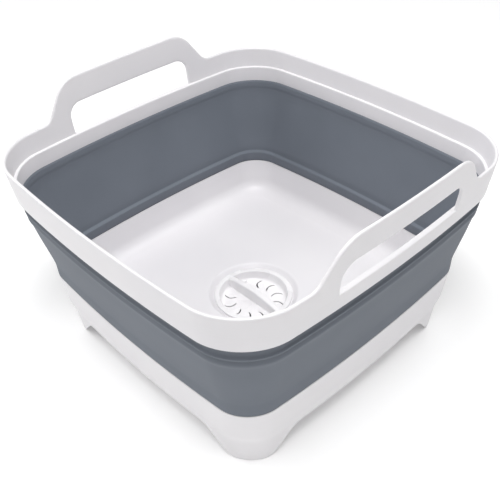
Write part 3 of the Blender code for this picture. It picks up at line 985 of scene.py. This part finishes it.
def crescent_shells():
    """Prisms of the slots: a line outwards that bends aside as a parabola, with a width and a depth.

    The two places under the bar have no slot.
    """
    sizes = bpy.context.scene.tub_sizes
    floor_z = strainer_heights()[1]
    low, high = floor_z - 0.004, floor_z + 0.002
    outer = sizes.cup_radius - sizes.cup_skin - 0.0032
    share = np.linspace(0, 1, 15)
    out = outer - sizes.slot_length * (1 - share)
    aside = sizes.slot_bulge * 4 * share * (1 - share)
    slope = np.arctan2(sizes.slot_bulge * 4 * (1 - 2 * share), sizes.slot_length)
    half = sizes.slot_width / 2 * np.sqrt(np.clip(1 - (2 * share - 1) ** 6, 0.05, 1))
    step = np.stack([-half * np.sin(slope), half * np.cos(slope)], axis=1)
    middle = np.stack([out, aside], axis=1)
    shells = []
    for slot in range(sizes.slot_count):
        if slot % (sizes.slot_count // 2) == 0:
            continue
        angle = 2 * math.pi * slot / sizes.slot_count
        turn = np.array([[math.cos(angle), math.sin(angle)], [-math.sin(angle), math.cos(angle)]])
        left, right = (middle + step) @ turn, (middle - step) @ turn
        corners = ((left, low), (right, low), (right, high), (left, high))
        ring = [np.column_stack([side, np.full(len(side), z)]) for side, z in corners]
        shells.append(strip_shell(np.stack(ring, axis=1)))
    return shells


def cut_out(piece, shells):
    """Cuts closed shells out of a piece with a Boolean and keeps the result as its mesh."""
    tool = add_mesh("slot_tool", shells, piece.data.materials[0])
    modifier = piece.modifiers.new("slots", "BOOLEAN")
    modifier.operation = "DIFFERENCE"
    modifier.solver = "EXACT"
    modifier.object = tool
    graph = bpy.context.evaluated_depsgraph_get()
    mesh = bpy.data.meshes.new_from_object(piece.evaluated_get(graph))
    piece.modifiers.clear()
    piece.data = mesh
    bpy.data.objects.remove(tool, do_unlink=True)
    mesh.shade_smooth()
    mesh.set_sharp_from_angle(angle=math.radians(35))


def bar_shell():
    """The grip bar: a flat bar along X with a round top, crowned as a parabola."""
    sizes = bpy.context.scene.tub_sizes
    flange_z, floor_z = strainer_heights()
    reach = sizes.cup_radius - sizes.cup_skin / 2
    along = np.linspace(-1, 1, 41)[:, None]
    half = sizes.bar_width / 2
    foot = half * 0.8
    soft = 0.0014
    quarter = np.linspace(0, math.pi / 2, 7)
    near = half - soft + soft * np.cos(quarter)
    across = np.concatenate([[foot], near, -near[::-1], [-foot]])
    rise = soft * np.sin(quarter)
    lift = np.concatenate([[0], rise, rise[::-1], [0]])
    top = flange_z - soft - 0.0001 + sizes.bar_crown * (1 - along**2)
    height = top + lift[None, :]
    height[:, [0, -1]] = floor_z - 0.0006
    x = np.broadcast_to(along * reach, height.shape)
    y = np.broadcast_to(across[None, :], height.shape)
    return strip_shell(np.stack([x, y, height], axis=-1))


class MakeStrainer(bpy.types.Operator):
    """Make the strainer cup with its slots and grip bar"""

    bl_idname = "washtub.strainer"
    bl_label = "Strainer"

    def execute(self, context):
        # the strainer's whiter colour is a painted highlight on its ring and bar
        white = strainer_polypropylene()
        cup = add_mesh("strainer", [strainer_shell()], white)
        cut_out(cup, crescent_shells())
        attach(cup, "strainer")
        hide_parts("strainer_cup")
        bar = add_mesh("grip_bar", [bar_shell()], white)
        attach(bar, "strainer")
        return {"FINISHED"}


class MakeSeal(bpy.types.Operator):
    """Make the soft stopper seal under the strainer"""

    bl_idname = "washtub.seal"
    bl_label = "Stopper seal"

    def execute(self, context):
        low, high = SEAL_LOW.z, SEAL_HIGH.z
        middle = (low + high) / 2
        bore = 0.004
        profile = rounded([
            (bore, low, 0.0004),
            (SEAL_HIGH.x - 0.0004, low, 0.0007),
            (SEAL_HIGH.x, middle, 0.0005),
            (SEAL_HIGH.x - 0.0015, high, 0.0008),
            (bore, high, 0.0004),
        ], FINE_STEPS)
        piece = add_mesh("seal", [turned_shell(profile, SEAL_TURNS)], seal_silicone())
        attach(piece, "strainer")
        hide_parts("stopper_seal")
        return {"FINISHED"}


# ---- stage ---------------------------------------------------------------------------------------


def add_softbox(box):
    """A square area light at its place that faces its target."""
    light = bpy.data.lights.new(box.name, "AREA")
    light.shape = "SQUARE"
    light.size = box.size
    light.energy = box.power
    lamp = bpy.data.objects.new(box.name, light)
    lamp.location = box.place
    lamp.rotation_euler = (Vector(box.target) - Vector(box.place)).to_track_quat("-Z", "Y").to_euler()
    bpy.context.scene.collection.objects.link(lamp)


def add_camera():
    """A camera 38 degrees above the tub, looking at it corner on, and rolled by a small angle."""
    back = Vector((
        math.sin(CAMERA_AZIMUTH) * math.cos(CAMERA_ELEVATION),
        -math.cos(CAMERA_AZIMUTH) * math.cos(CAMERA_ELEVATION),
        math.sin(CAMERA_ELEVATION),
    ))
    right = Vector((0, 0, 1)).cross(back).normalized()
    up = back.cross(right)
    place = CAMERA_TARGET + back * CAMERA_DISTANCE + right * CAMERA_ASIDE
    roll_cos, roll_sin = math.cos(CAMERA_ROLL), math.sin(CAMERA_ROLL)
    right, up = right * roll_cos + up * roll_sin, up * roll_cos - right * roll_sin
    camera = bpy.data.cameras.new("camera")
    camera.lens = CAMERA_LENS
    camera.sensor_width = SENSOR_WIDTH
    camera.clip_start = 0.01
    holder = bpy.data.objects.new("camera", camera)
    holder.matrix_world = Matrix.Translation(place) @ Matrix((right, up, back)).transposed().to_4x4()
    bpy.context.scene.collection.objects.link(holder)
    bpy.context.scene.camera = holder


class MakeStage(bpy.types.Operator):
    """Make the pale floor, the soft lights and the camera"""

    bl_idname = "washtub.stage"
    bl_label = "Stage"

    def execute(self, context):
        corners = np.array([(-1, -1, 0), (1, -1, 0), (1, 1, 0), (-1, 1, 0)]) * FLOOR_HALF
        floor = add_mesh("floor", [(corners, np.array([[0, 1, 2, 3]]))], studio_paper())
        world = bpy.data.worlds.new("studio")
        world.use_nodes = True
        sky = world.node_tree.nodes["Background"]
        sky.inputs["Color"].default_value = (1, 1, 1, 1)
        sky.inputs["Strength"].default_value = WORLD_STRENGTH
        context.scene.world = world
        context.scene.view_settings.view_transform = "Standard"
        for box in SOFTBOXES:
            add_softbox(box)
        add_camera()
        return {"FINISHED"}


# ---- panel and registration ----------------------------------------------------------------------


class TubPanel(bpy.types.Panel):
    """Buttons for the tub's pieces, with their sizes and colours"""

    bl_idname = "WASHTUB_PT_pieces"
    bl_label = "Wash tub"
    bl_space_type = "VIEW_3D"
    bl_region_type = "UI"
    bl_category = "Wash tub"

    def draw(self, context):
        column = self.layout.column(align=True)
        for maker in MAKERS:
            column.operator(maker.bl_idname)
        for group in (context.scene.tub_sizes, context.scene.tub_colours):
            column = self.layout.column(align=True)
            for name in group.bl_rna.properties.keys():
                if name not in ("rna_type", "name"):
                    column.prop(group, name)


MAKERS = (MakeRim, MakeWall, MakeBase, MakeStrainer, MakeSeal, MakeStage)
CLASSES = (TubSizes, TubColours, *MAKERS, TubPanel)


def register():
    for item in CLASSES:
        bpy.utils.register_class(item)
    bpy.types.Scene.tub_sizes = PointerProperty(type=TubSizes)
    bpy.types.Scene.tub_colours = PointerProperty(type=TubColours)


def unregister():
    del bpy.types.Scene.tub_colours
    del bpy.types.Scene.tub_sizes
    for item in reversed(CLASSES):
        bpy.utils.unregister_class(item)


def main():
    register()
    bpy.ops.washtub.rim()
    bpy.ops.washtub.wall()
    bpy.ops.washtub.base()
    bpy.ops.washtub.strainer()
    bpy.ops.washtub.seal()
    bpy.ops.washtub.stage()


if __name__ == "__main__":
    main()
